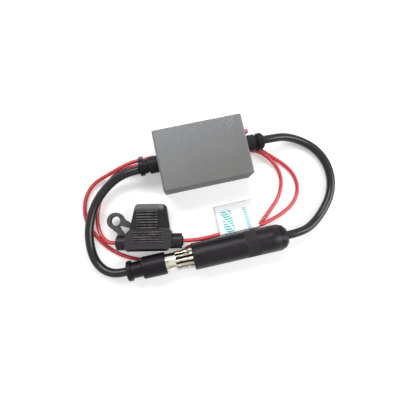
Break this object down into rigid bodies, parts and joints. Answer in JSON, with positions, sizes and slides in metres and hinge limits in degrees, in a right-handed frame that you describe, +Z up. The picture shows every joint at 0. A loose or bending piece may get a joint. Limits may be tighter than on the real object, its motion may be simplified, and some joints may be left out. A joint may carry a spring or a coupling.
{
  "type": "car antenna amplifier",
  "caption": "In-line car antenna signal amplifier: small metal case with coax cables to an antenna plug and socket, and a fused red supply lead.",
  "frame": {"origin": "under the middle of the metal case, on the surface that it lies on", "axes": "+X along the case from the left gland to the right gland, +Y to the back, +Z up"},
  "size_m": [0.1423, 0.0752, 0.017],
  "materials": {
    "casing": "matt grey, fine speckle",
    "steel": "plain zinc",
    "board": "green solder mask",
    "black_plastic": "satin moulded",
    "copper": "enamelled copper and solder",
    "can_sleeve": "shrunk sleeve",
    "ceramic_disc": "dipped coating",
    "resistor_body": "lacquered",
    "dielectric": "natural polyethylene",
    "black_rubber": "moulded rubber",
    "lamp_lens": "red tinted epoxy",
    "coax_jacket": "soft glossy jacket",
    "red_lead": "soft red insulation",
    "tinned_wire": "tinned strands",
    "nickel": "bright nickel plate",
    "fuse_plastic": "tinted fuse body",
    "fuse_metal": "tinned zinc",
    "label": "white film"
  },
  "bodies": {
    "amplifier": {"casing_top": "casing", "casing_base": "casing", "casing_screws": "steel", "circuit_board": "board", "board_screws": "steel", "amplifier_transistor": "black_plastic", "tuning_coils": "copper", "electrolytic_capacitor": "can_sleeve", "disc_capacitors": "ceramic_disc", "resistors": "resistor_body", "board_terminals": "copper", "left_coax_core": "dielectric", "right_coax_core": "dielectric", "power_lead_tail": "copper", "left_gland": "black_rubber", "right_gland": "black_rubber", "indicator_lamp": "lamp_lens", "indicator_lamp_legs": "steel", "left_cable_tie": "black_plastic", "right_cable_tie": "black_plastic", "coax_left": "coax_jacket", "coax_right": "coax_jacket", "power_lead": "red_lead", "supply_lead": "red_lead", "lead_bare_end": "tinned_wire", "socket_sleeve": "black_plastic", "socket_tail": "black_plastic", "socket_tube": "nickel", "socket_insulator": "dielectric", "socket_contact": "nickel", "fuse_base": "black_plastic", "cap_strap": "black_rubber", "fuse_terminals": "fuse_metal", "wire_seals": "black_rubber", "flag_label": "label"},
    "plug": {"plug_grip": "black_plastic", "plug_boot": "black_plastic", "plug_barrel": "nickel", "plug_insulator": "black_plastic", "plug_pin": "nickel"},
    "cap": {"fuse_cap": "black_plastic"},
    "fuse": {"fuse_body": "fuse_plastic", "fuse_blades": "fuse_metal"}
  },
  "joints": [
    {"name": "plug_pull", "type": "slide", "parent": "amplifier", "child": "plug", "axis": [-1, -0.0035, 0], "range_m": [0, 0.027], "deforming": ["coax_left"]},
    {"name": "cap_hinge", "type": "hinge", "parent": "amplifier", "child": "cap", "pos_m": [-0.04585, -0.03138, 0.0055], "axis": [0, 0, 1], "range_deg": [0, 78], "deforming": ["cap_strap"]},
    {"name": "fuse_pull", "type": "slide", "parent": "amplifier", "child": "fuse", "axis": [0.1908, 0.9816, 0], "range_m": [0, 0.006]}
  ],
  "couplings": [
    {"joint": "fuse_pull", "follows": "cap_hinge", "m_per_rad": 0.004403}
  ]
}
